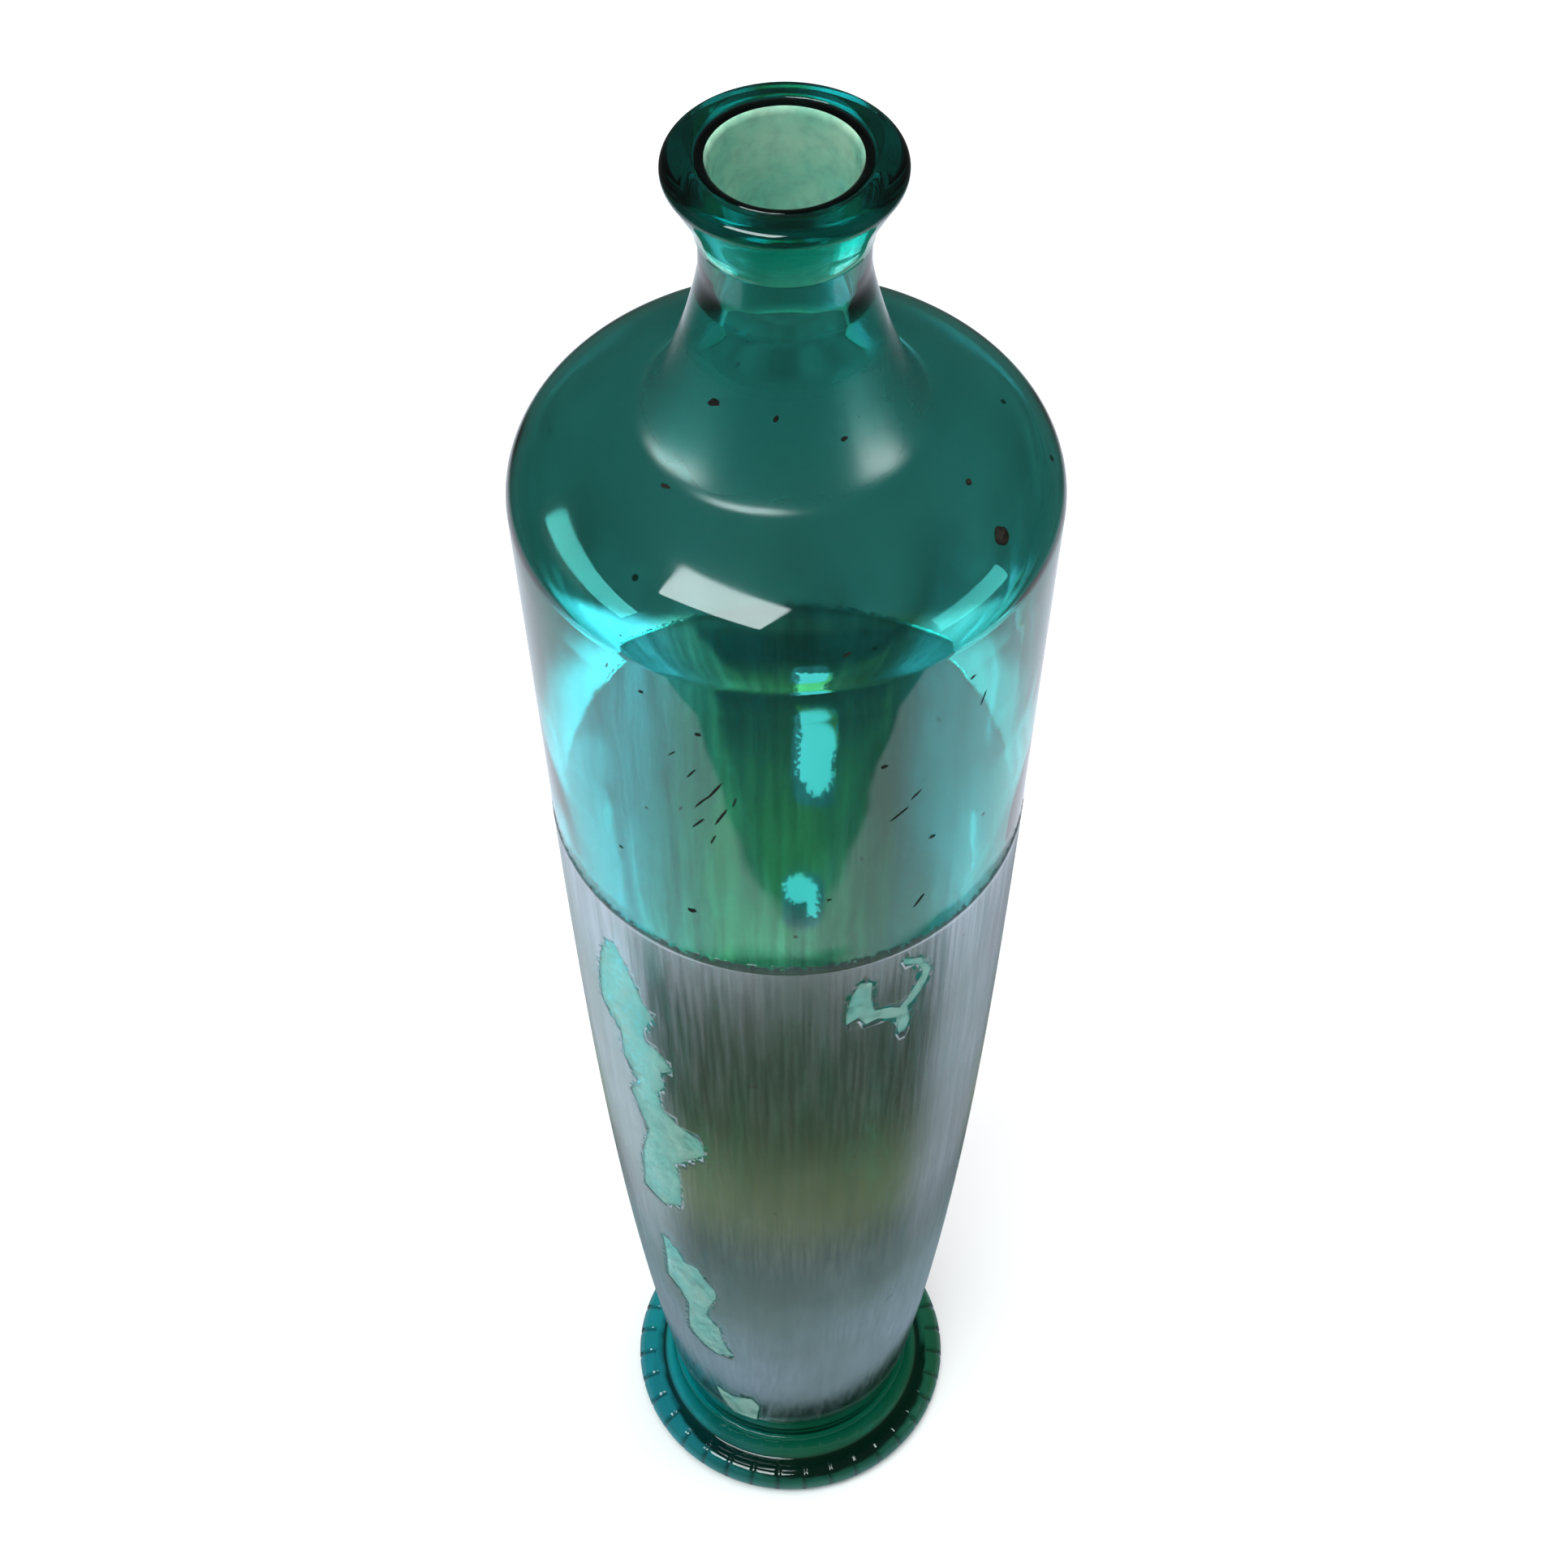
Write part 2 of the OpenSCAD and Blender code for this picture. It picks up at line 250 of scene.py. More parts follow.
# %% The blown body
def body_outline():
    crown = (CROWN_R, CROWN_Z)
    mouth = arc((BORE_R + MOUTH_ROUND, BORE_TOP), MOUTH_ROUND, MOUTH_ROUND, 90, 180, 8)
    neck_edge = NECK_R - SEAM
    share = (neck_edge - mouth[0][0]) / (crown[0] - mouth[0][0])
    crown_edge = (neck_edge, mouth[0][1] + share * (crown[1] - mouth[0][1]))
    floor_z = SEAT_Z + BOTTOM
    corner = HEEL_ROUND + MM
    corner_r = side_r(floor_z + corner) - WALL - corner
    rings = 14
    bottom = [
        (corner_r * (1 - i / rings), floor_z + PUSH_UP * math.cos(math.pi / 2 * (1 - i / rings)) ** 2)
        for i in range(rings + 1)
    ]
    return (
        [(0, SEAT_Z + SEAM), (HEEL_R / 2, SEAT_Z + SEAM)]
        + arc((HEEL_R - HEEL_ROUND, HEEL_TOP), HEEL_ROUND, HEEL_ROUND - SEAM, -90, 0, 8)
        + side(HEEL_TOP, SHOULDER_Z, 0, 44)[1:]
        + shoulder()[1:]
        + neck_root((neck_edge, WAIST_Z))[1:]
        + [(neck_edge, WAIST_Z + (CROWN_Z - WAIST_Z) * i / 6) for i in range(1, 6)]
        + [crown_edge]
        + mouth
        + [(BORE_R, BORE_TOP + (THROAT_Z - BORE_TOP) * i / 8) for i in range(1, 8)]
        + neck_root((BORE_R, THROAT_Z), -WALL)[::-1]
        + shoulder(-WALL)[::-1][1:]
        + side(floor_z + corner + MM, SHOULDER_Z, -WALL, 44)[::-1][1:]
        + arc((corner_r, floor_z + corner), corner, corner, 0, -90, 8)
        + bottom[1:]
    )


blown_body = spun("blown_body", body_outline(), 160)
finished(blown_body, "glass_body")

# %% [markdown]
# ## The tooled lip
# A second gather is wound round the neck's end and pressed out with a tool, which leaves a
# smooth rolled rim over a hollow curve. It is its own ring of glass, spun from a closed outline.

# %% The tooled lip
LIP_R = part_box("lip")[1].x
LIP_H = 17.5 * MM
LIP_STEP = 0.6 * MM
RIM_ROUND = 2.6 * MM
RIM_FALL = 0.1 * MM  # the rim's round ends this far below the crown
CROWN_LAP = 0.2 * MM  # the lip's inner face ends this far below the crown


def lip_outline():
    rim = (LIP_R - RIM_ROUND, CROWN_Z - RIM_FALL - RIM_ROUND)
    rim_top = arc(rim, RIM_ROUND, RIM_ROUND, 80, -50, 16)
    low = (NECK_R + LIP_STEP, CROWN_Z - LIP_H)
    inner = NECK_R + SEAM
    crown = curve(
        (CROWN_R, CROWN_Z), (CROWN_R + 2.2 * MM, CROWN_Z),
        (rim_top[0][0] - 0.9 * MM, rim[1] + RIM_ROUND), rim_top[0], 8,
    )
    under = curve(
        rim_top[-1], (rim_top[-1][0] - 0.9 * MM, rim_top[-1][1] - 2.7 * MM),
        (low[0] + LIP_STEP, low[1] + 4.7 * MM), (low[0], low[1] + 0.5 * MM), 16,
    )
    return (
        [(inner, CROWN_Z - CROWN_LAP)] + crown + rim_top[1:] + under[1:]
        + [low, (inner, low[1])]
        + [(inner, low[1] + (LIP_H - CROWN_LAP) * i / 5) for i in range(1, 5)]
    )


tooled_lip = spun("tooled_lip", lip_outline(), 128, closed=True)
finished(tooled_lip, "lip")

# %% [markdown]
# ## The crimped foot
# The foot is a third gather, drawn out to a disc with a full-round rim and nipped all round with
# a crimping tool. The disc is spun with many steps, and at each crimp one line of points across
# the rim is pushed in, which leaves a narrow groove between two soft beads.

# %% The crimped foot
FOOT_R = 50.5 * MM
FOOT_RIM = 4.6 * MM
CRIMPS = 36
CRIMP_DEPTH = 0.7 * MM
CRIMP_LINE = 0.02  # a crimp's line, in crimps to either side
CRIMP_SIDE = 0.10  # and how far the painted shade beside it spreads
COLLAR_T = 1.2 * MM
COLLAR_Z = SEAT_Z + 6.5 * MM
KICK_UP = 4.5 * MM
HOLLOW_R = FOOT_R - FOOT_RIM - 3.5 * MM


def hollow_z(r):
    return KICK_UP * (1 - (r / HOLLOW_R) ** 2)


def foot_outline():
    middle = FOOT_R - FOOT_RIM
    edge = (side_r(HEEL_TOP) + COLLAR_T, COLLAR_Z)
    top = curve(
        (middle - 0.62 * FOOT_RIM, 1.74 * FOOT_RIM), (middle - FOOT_RIM, 1.5 * FOOT_RIM),
        (edge[0] + 0.5 * MM, edge[1] - 4 * MM), edge, 10,
    )
    heel = arc((HEEL_R - HEEL_ROUND, HEEL_TOP), HEEL_ROUND + SEAM, HEEL_ROUND, 0, -90, 8)
    return (
        [(HOLLOW_R * i / 12, hollow_z(HOLLOW_R * i / 12)) for i in range(13)]
        + arc((middle, FOOT_RIM), FOOT_RIM, FOOT_RIM, -90, 105, 26)
        + top
        + [(side_r(COLLAR_Z) + SEAM, COLLAR_Z)]
        + heel
        + [(HEEL_R / 2, SEAT_Z), (0, SEAT_Z)]
    )


def crimp(foot):
    """Pushes in a line of points at each crimp, and says how deep in a crimp each point is."""
    deselect()
    foot.select_set(True)
    bpy.context.view_layer.objects.active = foot
    pitch = 2 * math.pi / CRIMPS
    middle = FOOT_R - FOOT_RIM
    crimped = []
    for vertex in foot.data.vertices:
        r = math.hypot(vertex.co.x, vertex.co.y)
        turn = math.atan2(vertex.co.y, vertex.co.x) / pitch - 0.5
        on_rim = math.atan2(vertex.co.z - FOOT_RIM, r - middle)
        off_line = abs(turn - round(turn))
        across_rim = r > middle - MM and -0.5 < on_rim < 1.75
        vertex.select = across_rim and off_line < CRIMP_LINE
        beside = across_rim and CRIMP_LINE <= off_line < CRIMP_SIDE
        crimped.append(float(vertex.select) + 0.5 * float(beside))
    for part in list(foot.data.edges) + list(foot.data.polygons):
        part.select = False
    bpy.ops.object.mode_set(mode="EDIT")
    bpy.ops.mesh.select_mode(type="VERT")
    bpy.ops.transform.shrink_fatten(value=-CRIMP_DEPTH)
    bpy.ops.object.mode_set(mode="OBJECT")
    print("crimped", sum(c == 1.0 for c in crimped), "points")
    return crimped


crimped_foot = spun("crimped_foot", foot_outline(), CRIMPS * 12)
crimped = crimp(crimped_foot)
finished(crimped_foot, "foot")

# %% [markdown]
# ## Painted shade in the foot and on the lip
# Shade is painted into the valley inside the foot's rim, reaching further at the front, into every
# crimp, and on the crown of the lip, where thick glass looks dark. Painting it by hand would work,
# but the places are known, so each point gets a number from 0 to 1, and the glass below is darkened by it.

# %% Painted shade in the foot and on the lip
VALLEY_IN = 41.0 * MM
VALLEY_OUT = 43.6 * MM
VALLEY_SPREAD = 5.8 * MM  # how much further out the painted shade reaches at the front
VALLEY_SOFT = 0.8 * MM  # width over which the painted shade thins out


def clamped(value):
    return min(1.0, max(0.0, value))


def carry(piece, name, values):
    """Each point of the piece carries a number, which its finish reads by name."""
    attribute = piece.data.attributes.new(name, "FLOAT", "POINT")
    attribute.data.foreach_set("value", values)
    print(piece.name, name, "from", round(float(min(values)), 4), "to", round(float(max(values)), 4))


# Painted shade in the valley inside the foot's rim, further out at the front, and in the crimps
def foot_painted_shade(foot, crimped):
    painted_shade = []
    for vertex, in_crimp in zip(foot.data.vertices, crimped):
        x, y, z = vertex.co
        r = math.hypot(x, y)
        facing = max(0.0, 0.25 * x - y) / max(r, MM)
        reach = VALLEY_OUT + VALLEY_SPREAD * facing + 0.5 * MM * noise.noise(vertex.co * 260)
        ring = clamped((reach - r) / VALLEY_SOFT) * clamped((r - VALLEY_IN) / VALLEY_SOFT)
        painted_shade.append(max(ring if z > FOOT_RIM else 0.0, 0.9 * in_crimp))
    return painted_shade


def lip_painted_shade(lip):
    """Painted shade where the thick glass looks dark: thick on the crown, none below the rim."""
    painted_shade = []
    for vertex in lip.data.vertices:
        height = (vertex.co.z - CROWN_Z + 1.4 * RIM_ROUND) / (0.5 * RIM_ROUND)
        patchy = 0.80 + 0.25 * noise.noise(vertex.co * 120)
        painted_shade.append(clamped(height) * patchy)
    return painted_shade


carry(crimped_foot, "painted_shade", foot_painted_shade(crimped_foot, crimped))
carry(tooled_lip, "painted_shade", lip_painted_shade(tooled_lip))

# %% [markdown]
# ## The pontil scar
# While the lip was worked, the bottle was held by a pontil iron stuck to the foot's hollow. It
# was snapped off, and left a ragged ring of glass. A spun ring gets its breaks from a Displace
# modifier driven by a cloud texture, which acts only on the points below the ring's roof.

# %% The pontil scar
SCAR_R = 11 * MM
SCAR_W = 3.2 * MM
SCAR_H = 1.4 * MM


def scar_outline():
    inner, outer = SCAR_R - SCAR_W / 2, SCAR_R + SCAR_W / 2
    low = hollow_z(SCAR_R) - SCAR_H
    roof = [outer + (inner - outer) * i / 4 for i in range(5)]
    return [
        (inner, low + 0.6 * SCAR_H),
        (inner + 0.2 * SCAR_W, low + 0.2 * SCAR_H),
        (inner + 0.35 * SCAR_W, low + 0.05 * SCAR_H),
        (SCAR_R, low),
        (outer - 0.3 * SCAR_W, low + 0.2 * SCAR_H),
        (outer - 0.15 * SCAR_W, low + 0.4 * SCAR_H),
        (outer, low + 0.7 * SCAR_H),
    ] + [(r, hollow_z(r) - SEAM) for r in roof]


pontil_scar = spun("pontil_scar_ring", scar_outline(), 120, closed=True)
broken = pontil_scar.vertex_groups.new(name="broken")
for vertex in pontil_scar.data.vertices:
    r = math.hypot(vertex.co.x, vertex.co.y)
    depth = hollow_z(r) - vertex.co.z
    broken.add([vertex.index], clamped(depth / SCAR_H), "REPLACE")
chipping = bpy.data.textures.new("chipping", type="CLOUDS")
chipping.noise_scale = 0.0045
bpy.ops.object.modifier_add(type="DISPLACE")
chips = pontil_scar.modifiers[-1]
chips.texture = chipping
chips.texture_coords = "LOCAL"
chips.vertex_group = "broken"
chips.mid_level = 0.75
chips.strength = 2.2 * MM
bpy.ops.object.modifier_apply(modifier=chips.name)
finished(pontil_scar, "pontil_scar")

# %% [markdown]
# ## The silver coat
# Someone brushed a silver lacquer over the lower part of the body, and it has flaked off in
# patches. It could be painted on as a mask, but the coat is a skin of its own that can be left
# out or worn further, so it is a thin closed shell, and each large flake is cut out of it.

# %% The silver coat
COAT_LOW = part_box("silver_coat")[0].z
COAT_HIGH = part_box("silver_coat")[1].z
COAT_T = 0.15 * MM
WORN_LEFT = [
    (-10, 57), (-7, 61), (-4, 58), (-1, 51), (2, 43), (5, 39), (1, 30), (1, 24), (6, 23), (9, 17),
    (5, 13), (6, 7), (3, 1), (4, -6), (8, -10), (15, -13), (16, -20), (6, -34), (7, -42), (6, -58),
    (0, -64), (-8, -62), (-6, -40), (-2, -24), (-5, -14), (-7, -8), (-3, -1), (-8, 8), (-8, 20),
    (-15, 27), (-14, 42),
]
WORN_RIGHT = [
    (-5, 23), (-2, 22), (-2, 15), (-1, 9), (3, 8), (6, 6), (8, 9), (10, 13), (12, 17), (10, 22),
    (6, 25), (6, 27), (11, 24), (14, 17), (13, 12), (11, 8), (8, 5), (9, -2), (8, -6), (6, -6),
    (5, 2), (3, 3), (0, 5), (-3, 4), (-5, 8), (-8, 6), (-8, 11), (-7, 18),
]
WORN_LOW = [
    (-11, 33), (-6, 30), (-4, 24), (1, 26), (3, 20), (6, 15), (6, 10), (3, 1), (1, -7), (5, -13),
    (6, -26), (8, -32), (3, -36), (-2, -34), (-7, -28), (-6, -16), (-5, -7), (-8, 1), (-12, 4),
    (-11, 18),
]
WORN_HEEL = [(-8, 6), (-2, 4), (5, 8), (7, 2), (5, -12), (-3, -12), (-6, -4)]
WORN_BACK_HIGH = [
    (6, 17), (-4, 17), (-5, 13), (-5, 5), (-4, 0), (-4, -8), (-3, -12), (0, -17), (3, -12),
    (5, -10), (5, 5), (4, 12),
]
WORN_BACK_LOW = [
    (4, 3), (2, 6), (-1, 6), (-5, 1), (-4, -3), (-5, -12), (-3, -12), (-2, -5), (2, -6), (4, -2),
]
# Bearing of each patch in degrees from the front, depth below the coat's upper edge, outline
WORN = [
    (-41, 78.3, WORN_LEFT), (22, 34.3, WORN_RIGHT), (-33, 199.7, WORN_LOW), (-24, 274.3, WORN_HEEL),
    (171, 59.3, WORN_BACK_HIGH), (176, 118.3, WORN_BACK_LOW),
]


def flake(number, bearing, depth, outline):
    """A prism with the patch's outline that reaches from the axis out through the coat."""
    chain = [(x * MM, COAT_HIGH - depth * MM + z * MM) for x, z in outline]
    prism = drawn(f"flake_{number}", chain, closed=True)
    bpy.ops.mesh.extrude_region_move(TRANSFORM_OT_translate={"value": (0, -1.1 * SHOULDER_R, 0)})
    bpy.ops.mesh.select_all(action="SELECT")
    bpy.ops.transform.rotate(value=math.radians(-bearing), orient_axis="Z", center_override=(0, 0, 0))
    bpy.ops.mesh.normals_make_consistent(inside=False)
    bpy.ops.object.mode_set(mode="OBJECT")
    return prism


def cut_by(piece, prism, operation):
    """Takes the prism away from the piece, or keeps what lies inside it, and removes the prism."""
    bpy.ops.object.modifier_add(type="BOOLEAN")
    cut = piece.modifiers[-1]
    cut.operation = operation
    cut.solver = "EXACT"
    cut.object = prism
    bpy.ops.object.modifier_apply(modifier=cut.name)
    bpy.data.objects.remove(prism)


skin = side(COAT_LOW, COAT_HIGH, SEAM, 71)
flakes = [flake(i, *patch) for i, patch in enumerate(WORN)]
silver_coat = spun("silver_lacquer", skin + [(r + COAT_T, z) for r, z in skin[::-1]], 240, closed=True)
for prism in flakes:
    cut_by(silver_coat, prism, "DIFFERENCE")
finished(silver_coat, "silver_coat")

# %% [markdown]
# ## How far each point of the coat is from a torn edge
# A flake's edge is ragged at a scale too fine to cut. Each point of the coat therefore carries
# its distance to the nearest torn edge, and the finish below frays the lacquer near zero.

# %% Distance to a torn edge
FAR_FROM_EDGE = 0.02  # the coat's upper edge counts up to here


def distance_to_outline(points, outline):
    nearest = np.full(len(points), 1.0)
    ends = np.array(outline + outline[:1]) * MM
    for a, b in zip(ends, ends[1:]):
        along = b - a
        share = np.clip((points - a) @ along / (along @ along), 0, 1)
        nearest = np.minimum(nearest, np.linalg.norm(points - a - share[:, None] * along, axis=1))
    return nearest


def torn_distance(coat):
    co = np.array([v.co for v in coat.data.vertices])
    r = np.hypot(co[:, 0], co[:, 1])
    bearing = np.degrees(np.arctan2(co[:, 0], -co[:, 1]))
    nearest = np.minimum(COAT_HIGH - co[:, 2], FAR_FROM_EDGE)
    for middle, depth, outline in WORN:
        away = (bearing - middle + 180) % 360 - 180
        flat = np.stack([np.sin(np.radians(away)) * r, co[:, 2] - COAT_HIGH + depth * MM], axis=1)
        facing = np.abs(away) < 80
        nearest = np.where(facing, np.minimum(nearest, distance_to_outline(flat, outline)), nearest)
    return nearest.astype(np.float32)


carry(silver_coat, "torn_distance", torn_distance(silver_coat))

# %% [markdown]
# ## The glass
# Copper and iron in the melt turn it teal. The colour belongs in the volume and not on the
# surface: a thin wall seen square on is almost clear, and an edge seen along its length is
# nearly black, which no surface colour would give. The surface itself ripples a little, has a
# smeared film and a few black pits, is darkened by painted shade on the lip and foot, and is
# dull with haze on the crown of the shoulder, below the neck. All of it is patterns and
# numbers on the one material.

# %% The glass
CLEAR = (0.97, 1.0, 0.99, 1)
TEAL = (0.0575, 0.9075, 0.8875, 1)
PIT_BLACK = (0.02, 0.02, 0.015, 1)
# where points carry painted shade, the glass is darkened towards this
PAINTED_SHADE_BLACK = (0.012, 0.016, 0.012, 1)
# Heights where the haze on the shoulder starts, is full, thins out again and is gone
HAZE = (0.424, 0.440, 0.456, 0.462)
HAZE_ROUGH = 0.26


def new_material(name):
    material = bpy.data.materials.new(name)
    material.use_nodes = True
    nodes = material.node_tree.nodes
    return material, nodes, material.node_tree.links, nodes["Principled BSDF"]


def add_node(nodes, kind, **values):
    node = nodes.new(kind)
    for key, value in values.items():
        if key in node.inputs:
            node.inputs[key].default_value = value
        else:
            setattr(node, key, value)
    return node


def plug(links, value, socket):
    """Another node's output is linked to the socket, and a plain value is set on it."""
    if isinstance(value, bpy.types.NodeSocket):
        links.new(value, socket)
    else:
        socket.default_value = value


def object_place(nodes):
    return add_node(nodes, "ShaderNodeTexCoord").outputs["Object"]


def xyz_of(nodes, links, place):
    parts = add_node(nodes, "ShaderNodeSeparateXYZ")
    links.new(place, parts.inputs[0])
    return parts.outputs["X"], parts.outputs["Y"], parts.outputs["Z"]


def carried(nodes, name):
    """The number that each point carries under this name."""
    return add_node(nodes, "ShaderNodeAttribute", attribute_name=name).outputs["Fac"]


def ranged(nodes, links, value, low, high, to_low=0, to_high=1, shape="LINEAR"):
    """Low to high becomes to_low to to_high, and a value outside stays at the nearer end."""
    node = add_node(nodes, "ShaderNodeMapRange", interpolation_type=shape)
    for socket, number in zip(node.inputs[1:5], (low, high, to_low, to_high)):
        socket.default_value = number
    links.new(value, node.inputs["Value"])
    return node.outputs["Result"]


def smooth_step(nodes, links, value, low, high):
    return ranged(nodes, links, value, low, high, shape="SMOOTHSTEP")


def calculated(nodes, links, operation, *terms):
    """A Math node of sockets and plain numbers."""
    node = add_node(nodes, "ShaderNodeMath", operation=operation)
    for term, socket in zip(terms, node.inputs):
        plug(links, term, socket)
    return node.outputs["Value"]


def product(nodes, links, *sockets):
    total = sockets[0]
    for socket in sockets[1:]:
        total = calculated(nodes, links, "MULTIPLY", total, socket)
    return total


def sum_of(nodes, links, terms, constant):
    """The sum of socket * factor over the terms, and a constant."""
    total = constant
    for socket, factor in terms:
        total = calculated(nodes, links, "MULTIPLY_ADD", socket, factor, total)
    return total


def blend_nodes(nodes, links, factor, low, high):
    """A colour mix; low and high are colours or sockets."""
    mix = add_node(nodes, "ShaderNodeMix", data_type="RGBA")
    plug(links, factor, mix.inputs["Factor"])
    plug(links, low, mix.inputs[6])
    plug(links, high, mix.inputs[7])
    return mix.outputs[2]


def noise_of(nodes, links, place, scale, detail, stretch=None):
    pattern = add_node(nodes, "ShaderNodeTexNoise", Scale=scale, Detail=detail)
    if stretch:
        mapping = add_node(nodes, "ShaderNodeMapping", Scale=stretch)
        links.new(place, mapping.inputs["Vector"])
        place = mapping.outputs["Vector"]
    links.new(place, pattern.inputs["Vector"])
    return pattern.outputs["Fac"]


def noise_mask(nodes, links, place, scale, low, high, stretch=(1, 1, 1), detail=3.0):
    """A noise pattern pushed apart until it is nearly black and white."""
    return ranged(nodes, links, noise_of(nodes, links, place, scale, detail, stretch), low, high)


def bumpy(nodes, links, bsdf, height, strength, distance):
    bump = add_node(nodes, "ShaderNodeBump", Strength=strength, Distance=distance)
    links.new(height, bump.inputs["Height"])
    links.new(bump.outputs["Normal"], bsdf.inputs["Normal"])


def teal_glass(name, density, ripple, smear, pits=0.0, painted_shade="", haze=None):
    """Glass with a smeared film, black pits of some radius, painted shade where points carry it, and haze.
    """
    material, nodes, links, bsdf = new_material(name)
    bsdf.inputs["Transmission Weight"].default_value = 1
    bsdf.inputs["IOR"].default_value = 1.52
    place = object_place(nodes)
    bumpy(nodes, links, bsdf, noise_of(nodes, links, place, 17.0, 1.8), ripple, 0.004)
    film = noise_mask(nodes, links, place, 30.0, 0.40, 0.66, (1, 1, 0.30), 4.0)
    colour = blend_nodes(nodes, links, film, CLEAR, smear)
    if pits:
        cells = add_node(nodes, "ShaderNodeTexVoronoi", Scale=48.0)
        links.new(place, cells.inputs["Vector"])
        pit = ranged(nodes, links, cells.outputs["Distance"], pits, 0.7 * pits)
        colour = blend_nodes(nodes, links, pit, colour, PIT_BLACK)
    if painted_shade:
        colour = blend_nodes(nodes, links, carried(nodes, painted_shade), colour, PAINTED_SHADE_BLACK)
    links.new(colour, bsdf.inputs["Base Color"])
    rough = ranged(nodes, links, film, 0, 1, 0.01, 0.07)
    if haze:
        starts, full, thins, gone = haze
        z = xyz_of(nodes, links, place)[2]
        rising = smooth_step(nodes, links, z, starts, full)
        falling = smooth_step(nodes, links, z, gone, thins)
        dusty = product(nodes, links, rising, falling)
        rough = sum_of(nodes, links, [(rough, 1), (dusty, HAZE_ROUGH)], 0)
    links.new(rough, bsdf.inputs["Roughness"])
    tint = add_node(nodes, "ShaderNodeVolumeAbsorption", Color=TEAL, Density=density)
    links.new(tint.outputs["Volume"], nodes["Material Output"].inputs["Volume"])
    return material


body_glass = teal_glass("teal_body_glass", 400, 0.16, smear=(0.72, 0.88, 0.84, 1), pits=0.045, haze=HAZE)
lip_glass = teal_glass("teal_lip_glass", 420, 0.20, smear=(0.75, 0.85, 0.80, 1), painted_shade="painted_shade")
foot_glass = teal_glass("teal_foot_glass", 400, 0.14, smear=(0.62, 0.80, 0.60, 1), painted_shade="painted_shade")
for piece, glass in (
    (blown_body, body_glass), (tooled_lip, lip_glass),
    (crimped_foot, foot_glass), (pontil_scar, foot_glass),
):
    piece.data.materials.append(glass)
    print(piece.name, "is", glass.name)

# %% [markdown]
# ## Dust in the neck
# A bottle that can't be reached inside keeps its dust. It clings to the bore as a pale mottled
# film, thicker at the back, and reaches on to the rounding of the mouth, which makes the mouth
# look lighter than the dark lip round it. The film is a thin sleeve of its own that stands just
# inside the glass, because a colour on the glass itself would show from outside as well.

# %% Dust in the neck
DUST_T = 0.06 * MM
DUST_GAP = 0.05 * MM
DUST_LEE = (-0.004, 0.006)  # from front to back, the dust grows thicker between these
DUST_LEAST = 0.12  # share of the dust that is left at the front


def dust_side(inset):
    """The bore and the lower part of the mouth's rounding, moved in towards the axis."""
    low = THROAT_Z + MM
    bore = [(BORE_R - inset, low + (BORE_TOP - low) * i / 10) for i in range(10)]
    rounding = MOUTH_ROUND + inset
    return bore + arc((BORE_R + MOUTH_ROUND, BORE_TOP), rounding, rounding, 180, 125, 6)


neck_dust = spun("neck_dust", dust_side(DUST_GAP) + dust_side(DUST_GAP + DUST_T)[::-1], 96, closed=True)
finished(neck_dust)


def pale_dust():
    material, nodes, links, bsdf = new_material("neck_dust")
    place = object_place(nodes)
    tone = noise_mask(nodes, links, place, 90.0, 0.35, 0.70)
    colour = blend_nodes(nodes, links, tone, (0.30, 0.68, 0.50, 1), (0.55, 0.80, 0.60, 1))
    links.new(colour, bsdf.inputs["Base Color"])
    bsdf.inputs["Roughness"].default_value = 0.95
    grains = noise_mask(nodes, links, place, 300.0, 0.30, 0.60, detail=4.0)
    thick = ranged(nodes, links, grains, 0, 1, 0.40, 0.62)
    lee = ranged(nodes, links, xyz_of(nodes, links, place)[1], *DUST_LEE, DUST_LEAST, 1)
    links.new(product(nodes, links, thick, lee), bsdf.inputs["Alpha"])
    return material


neck_dust.data.materials.append(pale_dust())

# %% [markdown]
# ## Stones and scuffs
# Two grains of sand never melted and sit as black stones in the shoulder, and here and there a
# fleck of tar or a scuff has stuck to the glass. Each is a small lump or flake of its own, made
# flat at the origin and then laid on the surface, so that it is there from every side.

# %% Stones and scuffs
SCUFF_T = 0.06 * MM
SCUFF_SUNK = 0.02 * MM


def surface_at(z):
    """(radius, slope angle of the outward normal) of the outer wall at a height."""
    wall = side(HEEL_TOP, SHOULDER_Z, 0, 60) + shoulder()[1:] + neck_root((NECK_R, WAIST_Z))[1:]
    for (r0, z0), (r1, z1) in zip(wall, wall[1:]):
        if z0 <= z <= z1:
            share = (z - z0) / (z1 - z0)
            return r0 + share * (r1 - r0), math.atan2(r0 - r1, z1 - z0)
    raise ValueError("no wall at this height")


def lay_on(piece, z, bearing, tilt, lift=0.0):
    """Turns a piece made flat on XY to lie on the wall, tilted about the normal, and applies it."""
    r, up = surface_at(z * MM)
    turn = math.radians(bearing)
    out = Vector((math.sin(turn) * math.cos(up), -math.cos(turn) * math.cos(up), math.sin(up)))
    across = Vector((math.cos(turn), math.sin(turn), 0))
    lying = Matrix((across, out.cross(across), out)).transposed().to_4x4()
    spot = Vector((math.sin(turn) * r, -math.cos(turn) * r, z * MM)) + lift * out
    turned = Matrix.Rotation(math.radians(tilt), 4, "Z")
    piece.matrix_world = Matrix.Translation(spot) @ lying @ turned
    bpy.ops.object.transform_apply(location=True, rotation=True, scale=True)


def stone(number, z, bearing, size):
    deselect()
    bpy.ops.mesh.primitive_uv_sphere_add(segments=20, ring_count=12, radius=size / 2)
    lump = bpy.context.object
    for vertex in lump.data.vertices:
        knob = 1 + 0.35 * noise.noise(vertex.co * 2.2 / size + Vector((7 * number, 0, 0)))
        vertex.co = Vector((vertex.co.x, 0.8 * vertex.co.y, 0.45 * vertex.co.z)) * knob
    lay_on(lump, z, bearing, 20)
    bpy.ops.object.shade_smooth()
    return lump


